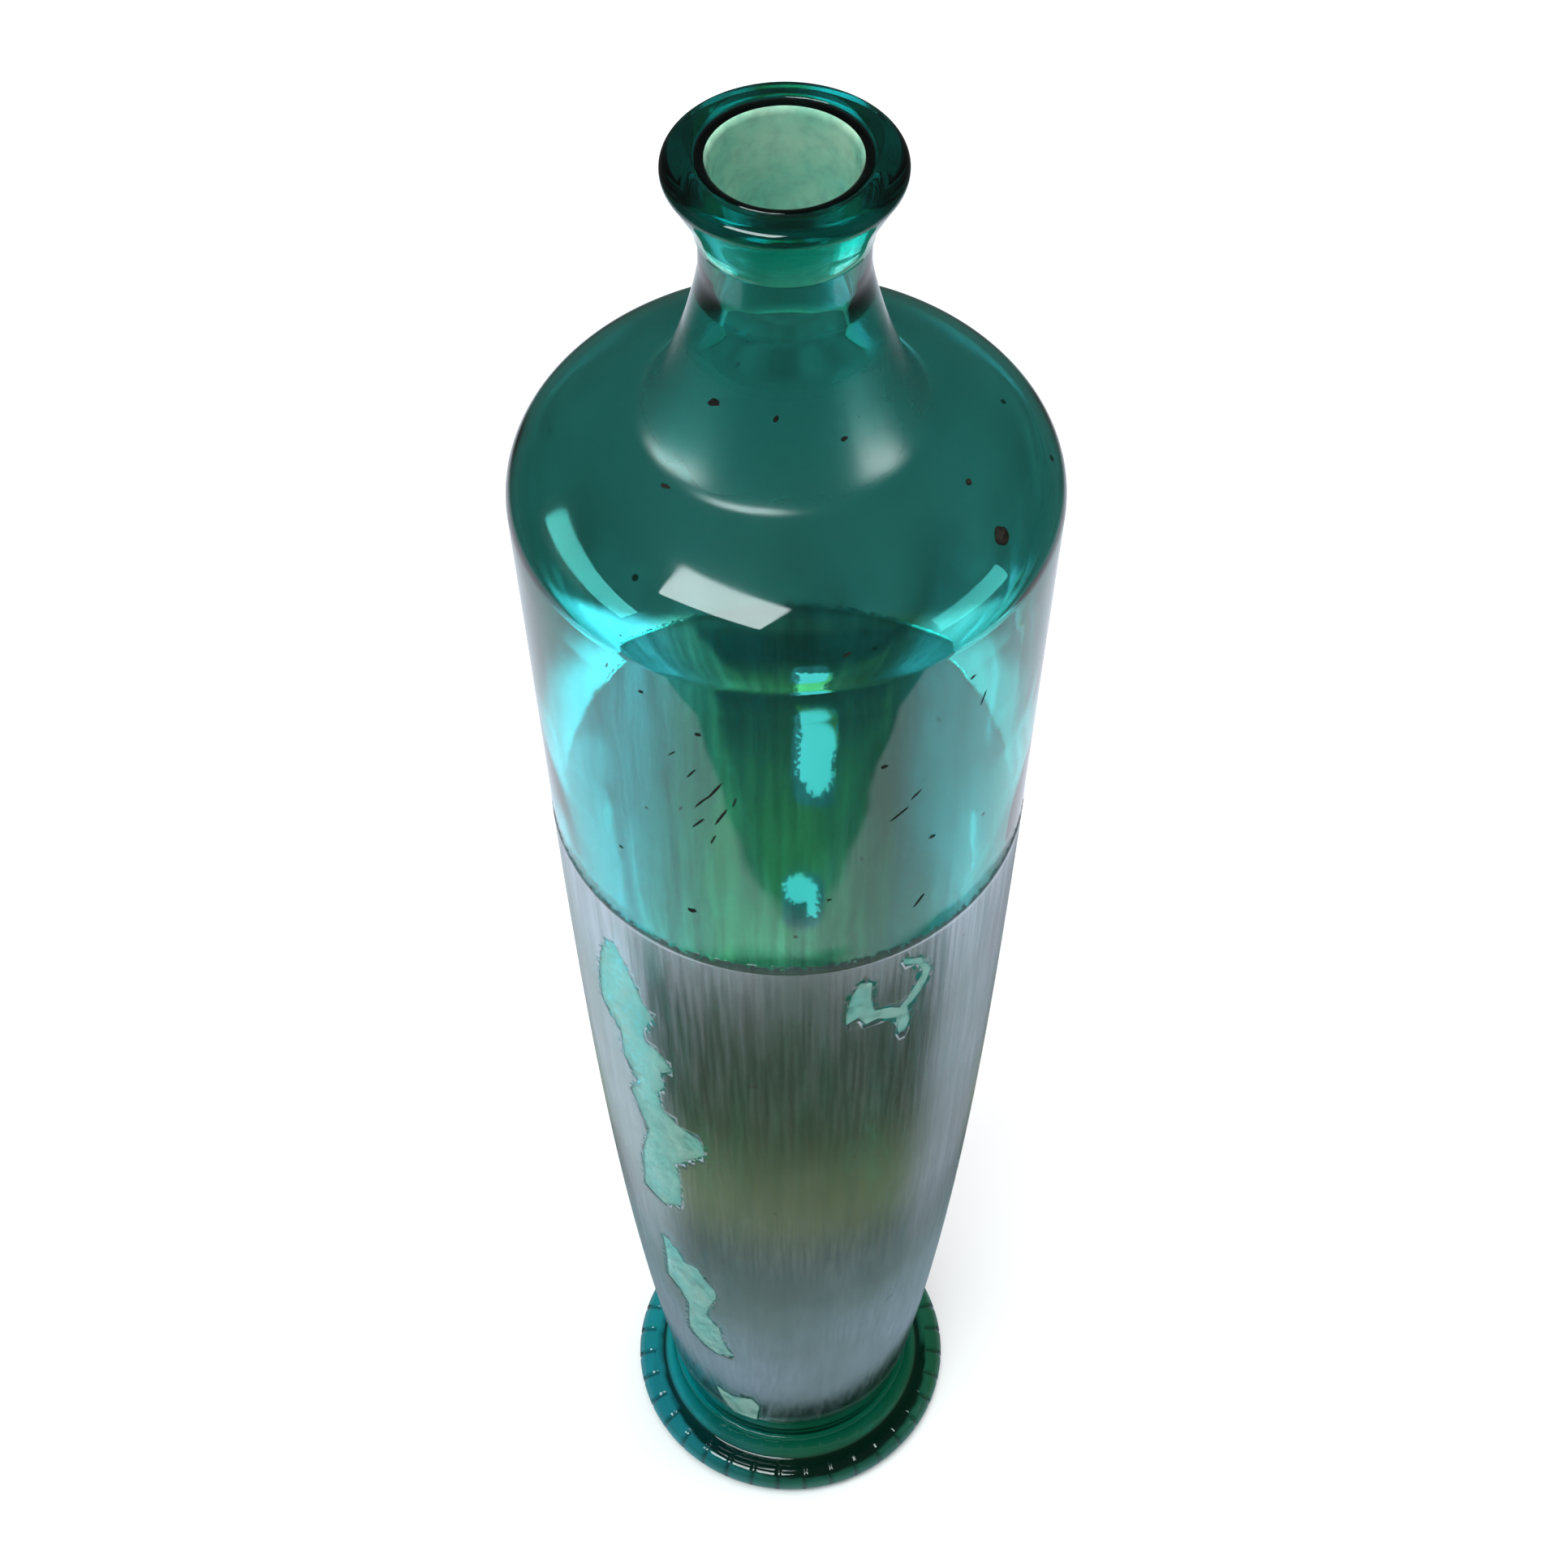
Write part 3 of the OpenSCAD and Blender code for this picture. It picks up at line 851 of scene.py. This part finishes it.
def scuff(number, z, bearing, length, width, tilt):
    deselect()
    bpy.ops.mesh.primitive_circle_add(vertices=12, radius=1, fill_type="NGON")
    fleck = bpy.context.object
    for vertex in fleck.data.vertices:
        ragged = 1 + 0.45 * noise.noise(vertex.co * 1.7 + Vector((3.1 * number, 0, 0)))
        vertex.co = Vector((vertex.co.x * length / 2, vertex.co.y * width / 2, 0)) * ragged
    bpy.ops.object.mode_set(mode="EDIT")
    bpy.ops.mesh.select_all(action="SELECT")
    bpy.ops.mesh.extrude_region_move(TRANSFORM_OT_translate={"value": (0, 0, SCUFF_T)})
    bpy.ops.mesh.select_all(action="SELECT")
    bpy.ops.mesh.normals_make_consistent(inside=False)
    bpy.ops.object.mode_set(mode="OBJECT")
    lay_on(fleck, z, bearing, tilt, -SCUFF_SUNK)
    return fleck


def joined(name, pieces):
    deselect()
    for piece in pieces:
        piece.select_set(True)
    bpy.context.view_layer.objects.active = pieces[0]
    bpy.ops.object.join()
    whole = bpy.context.object
    whole.name = name
    finished(whole)
    return whole


# Height in mm, bearing in degrees from the front, and size
stones = joined("stones", [stone(0, 426, 57, 4.4 * MM), stone(1, 432, 63, 1.7 * MM)])
# Height and length in mm, bearing and tilt in degrees
SCUFFS = [
    (453, -39, 3.4, 1.5, 30), (453, -5, 2.0, 1.0, 60), (435, -47, 2.6, 1.2, 10), (447, 28, 1.6, 1.0, 0),
    (385, 20, 1.7, 1.3, 0), (397, -18, 1.5, 1.1, 0), (352, 33, 1.8, 1.1, 0), (329, 31, 5.0, 0.9, 55),
    (331, -22, 2.2, 1.6, 20), (113, 37, 3.8, 1.3, 35), (421, 12, 1.8, 0.6, 20), (366, 24, 5.0, 0.7, 35),
    (371, 28, 3.4, 0.6, 40), (379, -15, 8.0, 0.6, 62), (374, -18, 6.5, 0.5, 58), (370, -14, 7.0, 0.6, 66),
    (383, -20, 4.5, 0.5, 60), (366, -19, 5.4, 0.5, 55), (361, -16, 4.0, 0.5, 70), (288, 5, 1.6, 0.8, 0),
    (258, -9, 3.4, 0.6, 20), (160, 12, 1.4, 0.7, 0), (392, 44, 4.0, 0.5, 70), (300, 47, 1.6, 0.6, 0),
    (376, -11, 3.6, 0.4, 75), (388, -24, 3.0, 0.4, 50), (340, 9, 1.2, 0.8, 0), (405, -30, 1.3, 0.9, 0),
    (402, 40, 1.5, 0.8, 15), (218, 18, 1.3, 0.6, 30), (190, -4, 1.2, 0.9, 0), (343, -40, 1.4, 0.8, 0),
]
scuffs = joined("scuffs", [
    scuff(i, z, bearing, length * MM, width * MM, tilt)
    for i, (z, bearing, length, width, tilt) in enumerate(SCUFFS)
])


def black_tar():
    material, nodes, links, bsdf = new_material("black_tar")
    brown = noise_mask(nodes, links, object_place(nodes), 900.0, 0.40, 0.65)
    colour = blend_nodes(nodes, links, brown, (0.004, 0.005, 0.004, 1), (0.018, 0.013, 0.009, 1))
    links.new(colour, bsdf.inputs["Base Color"])
    bsdf.inputs["Roughness"].default_value = 0.7
    bsdf.inputs["Specular IOR Level"].default_value = 0.25
    return material


tar = black_tar()
for piece in (stones, scuffs):
    piece.data.materials.append(tar)

# %% [markdown]
# ## Primer in the worn places
# Where the silver has flaked off at the front, a thin chalky layer is still on the glass, so
# those places look matt and mint rather than clear. Each is the skin of its worn place: a shell
# just off the glass, of which a boolean keeps only what lies inside the same prism that cut the
# silver. The two worn places at the back are bare glass.

# %% Primer in the worn places
PRIMER_T = 0.03 * MM
FRONT_WORN = 4  # the first four places of the list are at the front


def primer(number, patch):
    bearing, depth, outline = patch
    prism = flake(number, bearing, depth, outline)
    heights = [z for x, z in outline]
    low = COAT_HIGH + (min(heights) - depth) * MM
    high = COAT_HIGH + (max(heights) - depth) * MM
    under = side(low - MM, high + MM, SEAM, 12)
    layer = spun(f"primer_{number}", under + [(r + PRIMER_T, z) for r, z in under[::-1]], 240, closed=True)
    cut_by(layer, prism, "INTERSECT")
    return layer


def chalky_primer():
    material, nodes, links, bsdf = new_material("chalky_primer")
    place = object_place(nodes)
    tone = noise_mask(nodes, links, place, 120.0, 0.35, 0.65, (1, 1, 0.6))
    colour = blend_nodes(nodes, links, tone, (0.26, 0.62, 0.56, 1), (0.42, 0.68, 0.60, 1))
    links.new(colour, bsdf.inputs["Base Color"])
    bsdf.inputs["Roughness"].default_value = 0.8
    grains = noise_mask(nodes, links, place, 330.0, 0.32, 0.62, detail=4.0)
    links.new(ranged(nodes, links, grains, 0, 1, 0.16, 0.36), bsdf.inputs["Alpha"])
    return material


primers = [primer(i, patch) for i, patch in enumerate(WORN[:FRONT_WORN])]
worn_primer = joined("worn_primer", primers)
worn_primer.data.materials.append(chalky_primer())

# %% [markdown]
# ## The silver lacquer
# The lacquer is a thin metallic film, part mirror and part window, so it takes its look from the
# floor it reflects: bright near the foot, dark further up. It was brushed on along the bottle,
# so its cover changes in streaks that run up and down. Stretching the noise along Z gives the
# streaks, and has no seam because it never wraps round. Old lacquer is also tarnished in
# clouds, and crumbles away within two millimetres of a torn edge.

# %% The silver lacquer
BRUSHED = (1, 1, 0.03)  # this stretch turns a noise into long upright streaks
CRUMBLED = 0.0018  # the torn edge is eaten away by up to this much


def silver_lacquer():
    material, nodes, links, bsdf = new_material("silver_lacquer")
    bsdf.inputs["Metallic"].default_value = 1
    place = object_place(nodes)
    brushed = noise_mask(nodes, links, place, 760.0, 0.38, 0.64, BRUSHED, 5.0)
    tarnish = noise_mask(nodes, links, place, 26.0, 0.40, 0.66, (1, 1, 0.6), 5.0)
    silver = blend_nodes(nodes, links, brushed, (0.70, 0.74, 0.79, 1), (0.84, 0.87, 0.93, 1))
    dulled = blend_nodes(nodes, links, tarnish, silver, (0.60, 0.64, 0.62, 1))
    links.new(dulled, bsdf.inputs["Base Color"])
    links.new(ranged(nodes, links, brushed, 0, 1, 0.16, 0.22), bsdf.inputs["Roughness"])
    bumpy(nodes, links, bsdf, brushed, 0.08, 0.0003)
    streaks = noise_of(nodes, links, place, 260.0, 4.0, BRUSHED)
    cover = ranged(nodes, links, streaks, 0.35, 0.65, 0.54, 0.68)
    crumbs = noise_of(nodes, links, place, 700.0, 3.0)
    fray = ranged(nodes, links, crumbs, 0.45, 0.62, 0.0, CRUMBLED)
    kept = calculated(nodes, links, "GREATER_THAN", carried(nodes, "torn_distance"), fray)
    links.new(product(nodes, links, cover, kept), bsdf.inputs["Alpha"])
    return material


silver_coat.data.materials.append(silver_lacquer())

# %% [markdown]
# ## The floor
# The bottle stands on a plain pale floor. Glass shows what is round it more than itself, so what
# the floor shows to rays that come from the glass is set apart. Reflections see a pale ring close
# round the foot, dimness beyond it, pale sides, and a bright sheet from a quarter of a metre out.
# Rays that pass through see warm light behind the bottle, a dark wedge of its own shadow in the
# middle with two spots of light in it, and dimness further away. The camera sees a plain floor.

# %% What the floor shows to the glass
# Reflections: distance from the axis, and the colour there, with a painted shadow under the foot
POOL = [
    (0.036, (0.03, 0.04, 0.03, 1)), (0.052, (0.32, 0.42, 0.50, 1)), (0.085, (0.26, 0.36, 0.38, 1)),
    (0.105, (0.16, 0.21, 0.22, 1)), (0.117, (0.11, 0.14, 0.14, 1)), (0.130, (0.24, 0.30, 0.16, 1)),
    (0.148, (0.20, 0.25, 0.14, 1)), (0.168, (0.055, 0.065, 0.045, 1)), (0.600, (0.08, 0.09, 0.08, 1)),
]
# Reflections of the sides: half a metre plus the distance to the right, and the colour there
SIDES = [
    (0.30, (0.70, 0.80, 0.88, 1)), (0.45, (0.60, 0.68, 0.74, 1)),
    (0.55, (0.26, 0.30, 0.33, 1)), (0.70, (0.45, 0.50, 0.55, 1)),
]
BESIDE = (0.075, 0.13)  # the sides start this far out to the left and right,
BESIDE_FRONT = (-0.09, 0.0)  # behind this line
BESIDE_END = (0.9, 0.6)  # and within this distance of the axis
SHEET = (0.85, 0.90, 1.0, 1)
SHEET_START = (0.2500, 0.2550)  # the sheet is between these distances from the axis
SHEET_END = (0.75, 0.50)
SHEET_FRONT = -0.275  # and behind a line this far in front of the axis
SHEET_LEAN = 0.08
# Through the glass: half plus five times the distance to the right, and the colour there
LIT = [
    (0.12, (0.80, 0.88, 1.10, 1)), (0.25, (0.62, 0.62, 0.50, 1)), (0.35, (0.46, 0.44, 0.20, 1)),
    (0.50, (0.75, 0.50, 0.30, 1)), (0.72, (0.16, 0.13, 0.04, 1)), (0.82, (0.18, 0.15, 0.10, 1)),
    (0.90, (0.40, 0.42, 0.45, 1)),
]
LIT_NEAR = (0.340, 0.318)  # the lit part ends at this distance,
LIT_FRONT = (-0.07, -0.01)  # and starts behind this line
LIT_FALL = (0.163, 0.25, 5.4, 2.3)  # two distances, and its strength there
BAND_START = (0.162, 0.168)  # closer than this it shows through the coat, not the band
BAND_SHARE = 0.54  # and has this much less strength
DIM = (0.13, 0.15, 0.14, 1)
FOOT_END = (0.056, 0.075)  # closer than this the glass sees a painted shadow under the foot
FOOT_TURN = (-0.002, -0.045)  # the painted shadow lightens from right to left
# painted shadow under the foot: dark on the right, lighter on the left
UNDER_FOOT_SHADOW_RIGHT = (0.40, 0.12, 0.08, 1)
UNDER_FOOT_SHADOW_LEFT = (0.45, 0.38, 0.50, 1)
# The bottle's own shadow is a wedge: its tip behind the axis, its slope, its lean to the right
WEDGE_TIP = 0.170
WEDGE_SLOPE = 0.35
WEDGE_LEAN = 0.06
WEDGE_DEEP = [(0.18, (2.0, 1.90, 0.75, 1)), (0.29, (0.03, 0.04, 0.01, 1))]
# Middle and half size of each spot of light
SPOTS = [((0.012, 0.2575), (0.010, 0.022)), ((0.006, 0.190), (0.009, 0.014))]
SPOT_COLOUR = (0.90, 1.0, 1.05, 1)


def ramp_of(nodes, links, socket, stops):
    node = add_node(nodes, "ShaderNodeValToRGB")
    links.new(socket, node.inputs["Fac"])
    ramp = node.color_ramp
    ramp.elements[0].position, ramp.elements[0].color = stops[0]
    ramp.elements[1].position, ramp.elements[1].color = stops[-1]
    for position, colour in stops[1:-1]:
        ramp.elements.new(position).color = colour
    return node.outputs["Color"]


def scaled(nodes, links, colour, factor):
    node = add_node(nodes, "ShaderNodeVectorMath", operation="SCALE")
    links.new(colour, node.inputs[0])
    links.new(factor, node.inputs["Scale"])
    return node.outputs["Vector"]


def light_spot(nodes, links, x, y, middle, half):
    """One inside a rounded rectangle on the floor, and zero outside."""
    powers = []
    for socket, centre, reach in zip((x, y), middle, half):
        off = sum_of(nodes, links, [(socket, 1 / reach)], -centre / reach)
        powers.append(product(nodes, links, off, off, off, off))
    total = calculated(nodes, links, "ADD", *powers)
    return smooth_step(nodes, links, total, 1.3, 0.8)


def mirrored_floor(nodes, links, x, y, away):
    pool = ramp_of(nodes, links, away, POOL)
    sides = ramp_of(nodes, links, sum_of(nodes, links, [(x, 1.0)], 0.5), SIDES)
    beside = product(
        nodes, links,
        smooth_step(nodes, links, calculated(nodes, links, "ABSOLUTE", x), *BESIDE),
        smooth_step(nodes, links, y, *BESIDE_FRONT),
        smooth_step(nodes, links, away, *BESIDE_END),
    )
    behind_line = sum_of(nodes, links, [(x, -SHEET_LEAN), (y, 1)], -SHEET_FRONT)
    sheet = product(
        nodes, links,
        smooth_step(nodes, links, away, *SHEET_START),
        smooth_step(nodes, links, away, *SHEET_END),
        smooth_step(nodes, links, behind_line, -0.006, 0.006),
    )
    reflected = blend_nodes(nodes, links, beside, pool, sides)
    return blend_nodes(nodes, links, sheet, reflected, SHEET)


def own_shadow(nodes, links, x, y):
    """One in the wedge behind the bottle that opens away from it."""
    off_line = sum_of(nodes, links, [(x, 1), (y, -WEDGE_LEAN)], WEDGE_LEAN * WEDGE_TIP)
    off_line = calculated(nodes, links, "ABSOLUTE", off_line)
    half_width = sum_of(nodes, links, [(y, WEDGE_SLOPE)], -WEDGE_SLOPE * WEDGE_TIP)
    inside = calculated(nodes, links, "SUBTRACT", half_width, off_line)
    return smooth_step(nodes, links, inside, -0.003, 0.003)


def lit_floor(nodes, links, x, y, away, near):
    """The warm light behind the bottle, dimness elsewhere, and a painted shadow under the foot."""
    lit = ramp_of(nodes, links, sum_of(nodes, links, [(x, 5.0)], 0.5), LIT)
    in_band = smooth_step(nodes, links, away, *BAND_START)
    share = sum_of(nodes, links, [(in_band, BAND_SHARE)], 1 - BAND_SHARE)
    strength = product(nodes, links, ranged(nodes, links, away, *LIT_FALL), share)
    behind = product(nodes, links, near, smooth_step(nodes, links, y, *LIT_FRONT))
    through = blend_nodes(nodes, links, behind, DIM, scaled(nodes, links, lit, strength))
    leftward = smooth_step(nodes, links, x, *FOOT_TURN)
    under = blend_nodes(nodes, links, leftward, UNDER_FOOT_SHADOW_RIGHT, UNDER_FOOT_SHADOW_LEFT)
    return blend_nodes(nodes, links, smooth_step(nodes, links, away, *FOOT_END), under, through)


def floor_through_glass(nodes, links, place, x, y, away):
    near = smooth_step(nodes, links, away, *LIT_NEAR)
    through = lit_floor(nodes, links, x, y, away, near)
    shadow = product(nodes, links, own_shadow(nodes, links, x, y), near)
    shaded = blend_nodes(nodes, links, shadow, through, ramp_of(nodes, links, y, WEDGE_DEEP))
    clouds = noise_mask(nodes, links, place, 34.0, 0.36, 0.66, (1, 0.32, 1), 4.0)
    shaded = scaled(nodes, links, shaded, sum_of(nodes, links, [(clouds, 0.55)], 0.74))
    for middle, half in SPOTS:
        spot = light_spot(nodes, links, x, y, middle, half)
        shaded = blend_nodes(nodes, links, spot, shaded, SPOT_COLOUR)
    return shaded


print("the floor has", len(POOL) + len(SIDES), "mirrored colours and", len(LIT), "behind the glass")

# %% [markdown]
# ## One floor for the camera and another for the glass
# Light Path tells the floor's material what kind of ray has reached it. A ray that left the glass
# gets the colours above as plain emission. Every other ray gets a matt pale surface, which
# catches the lamps' light and the bottle's shadow.

# %% The floor
def pale_floor():
    material, nodes, links, bsdf = new_material("pale_floor")
    bsdf.inputs["Base Color"].default_value = (0.93, 0.93, 0.93, 1)
    bsdf.inputs["Roughness"].default_value = 0.9
    bsdf.inputs["Specular IOR Level"].default_value = 0.1
    place = object_place(nodes)
    x, y, _ = xyz_of(nodes, links, place)
    length = add_node(nodes, "ShaderNodeVectorMath", operation="LENGTH")
    links.new(place, length.inputs[0])
    away = length.outputs["Value"]
    reflected = mirrored_floor(nodes, links, x, y, away)
    through = floor_through_glass(nodes, links, place, x, y, away)
    path = add_node(nodes, "ShaderNodeLightPath")
    passed, mirrored = path.outputs["Is Transmission Ray"], path.outputs["Is Glossy Ray"]
    glow = add_node(nodes, "ShaderNodeEmission")
    links.new(blend_nodes(nodes, links, passed, reflected, through), glow.inputs["Color"])
    both = add_node(nodes, "ShaderNodeMixShader")
    links.new(calculated(nodes, links, "MAXIMUM", passed, mirrored), both.inputs["Fac"])
    links.new(bsdf.outputs["BSDF"], both.inputs[1])
    links.new(glow.outputs["Emission"], both.inputs[2])
    links.new(both.outputs["Shader"], nodes["Material Output"].inputs["Surface"])
    return material


FLOOR_SIZE = 8
deselect()
bpy.ops.mesh.primitive_plane_add(size=FLOOR_SIZE, location=(0, 0, 0))
floor = bpy.context.object
floor.name = "floor"
floor.data.materials.append(pale_floor())
print(floor.name, FLOOR_SIZE, "m wide")

# %% [markdown]
# ## The light
# A large soft window high at the front left gives the pale patch on the shoulder. It is mirrored
# in the glass but not seen through it. Two walls of light at the sides are the reverse: they show
# only through the glass, where they draw the bright lines down it, and light nothing else. Two
# low lights and one overhead light the floor and the dust, and show in no glass or silver. One
# bare lamp could do all of this at once, but then each effect would spoil the others.

# %% The light
SHOULDER_AIM = (0, 0, 0.43)
BODY_AIM = (0, 0, 0.3)


def soft_light(name, location, size, power, aim=BODY_AIM, mirrored=True, seen_through=True, lights=True):
    bpy.ops.object.light_add(type="AREA", location=location)
    lamp = bpy.context.object
    lamp.name = name
    lamp.data.shape = "RECTANGLE"
    lamp.data.size, lamp.data.size_y = size
    lamp.data.energy = power
    lamp.rotation_euler = (Vector(aim) - Vector(location)).to_track_quat("-Z", "Y").to_euler()
    lamp.visible_glossy = mirrored
    lamp.visible_transmission = seen_through
    lamp.visible_diffuse = lights
    return lamp


window = soft_light("window", (-0.60, -0.75, 2.17), (1.2, 0.62), 28, SHOULDER_AIM, seen_through=False)
window.data.color = (0.86, 1.0, 1.0)
for name, location, size, power in (
    ("left_wall", (-2.0, -0.14, 1.15), (1.8, 0.7), 45),
    ("right_wall", (2.0, -0.60, 0.75), (1.2, 0.8), 25),
):
    soft_light(name, location, size, power, SHOULDER_AIM, mirrored=False, lights=False)
for name, location, size, power in (
    ("left_low", (-2.0, -0.1, 0.55), (1.6, 0.5), 8),
    ("right_low", (2.0, -0.5, 0.40), (1.2, 0.40), 6),
    ("overhead", (0.3, 0.2, 2.4), (2.0, 2.0), 45),
):
    soft_light(name, location, size, power, mirrored=False, seen_through=False)
lamps = [thing for thing in bpy.data.objects if thing.type == "LIGHT"]
print("lamps", {lamp.name: lamp.data.energy for lamp in lamps})

# %% [markdown]
# ## The room
# Beyond the floor there is only the world. It is pale to the camera, as a backdrop is, a soft fill
# to matt surfaces, and dark to glass and silver, so that their edges stay dark.

# %% The room
TO_CAMERA = (0.90, 0.90, 0.90, 1)
TO_MATT = (0.42, 0.43, 0.44, 1)
TO_GLASS = (0.06, 0.07, 0.07, 1)
world = bpy.data.worlds.new("room")
bpy.context.scene.world = world
world.use_nodes = True
nodes, links = world.node_tree.nodes, world.node_tree.links
path = add_node(nodes, "ShaderNodeLightPath")
shade = blend_nodes(nodes, links, path.outputs["Is Diffuse Ray"], TO_GLASS, TO_MATT)
backdrop = blend_nodes(nodes, links, path.outputs["Is Camera Ray"], shade, TO_CAMERA)
links.new(backdrop, nodes["Background"].inputs["Color"])

bpy.context.scene.view_settings.view_transform = "Standard"
print("world", world.name)
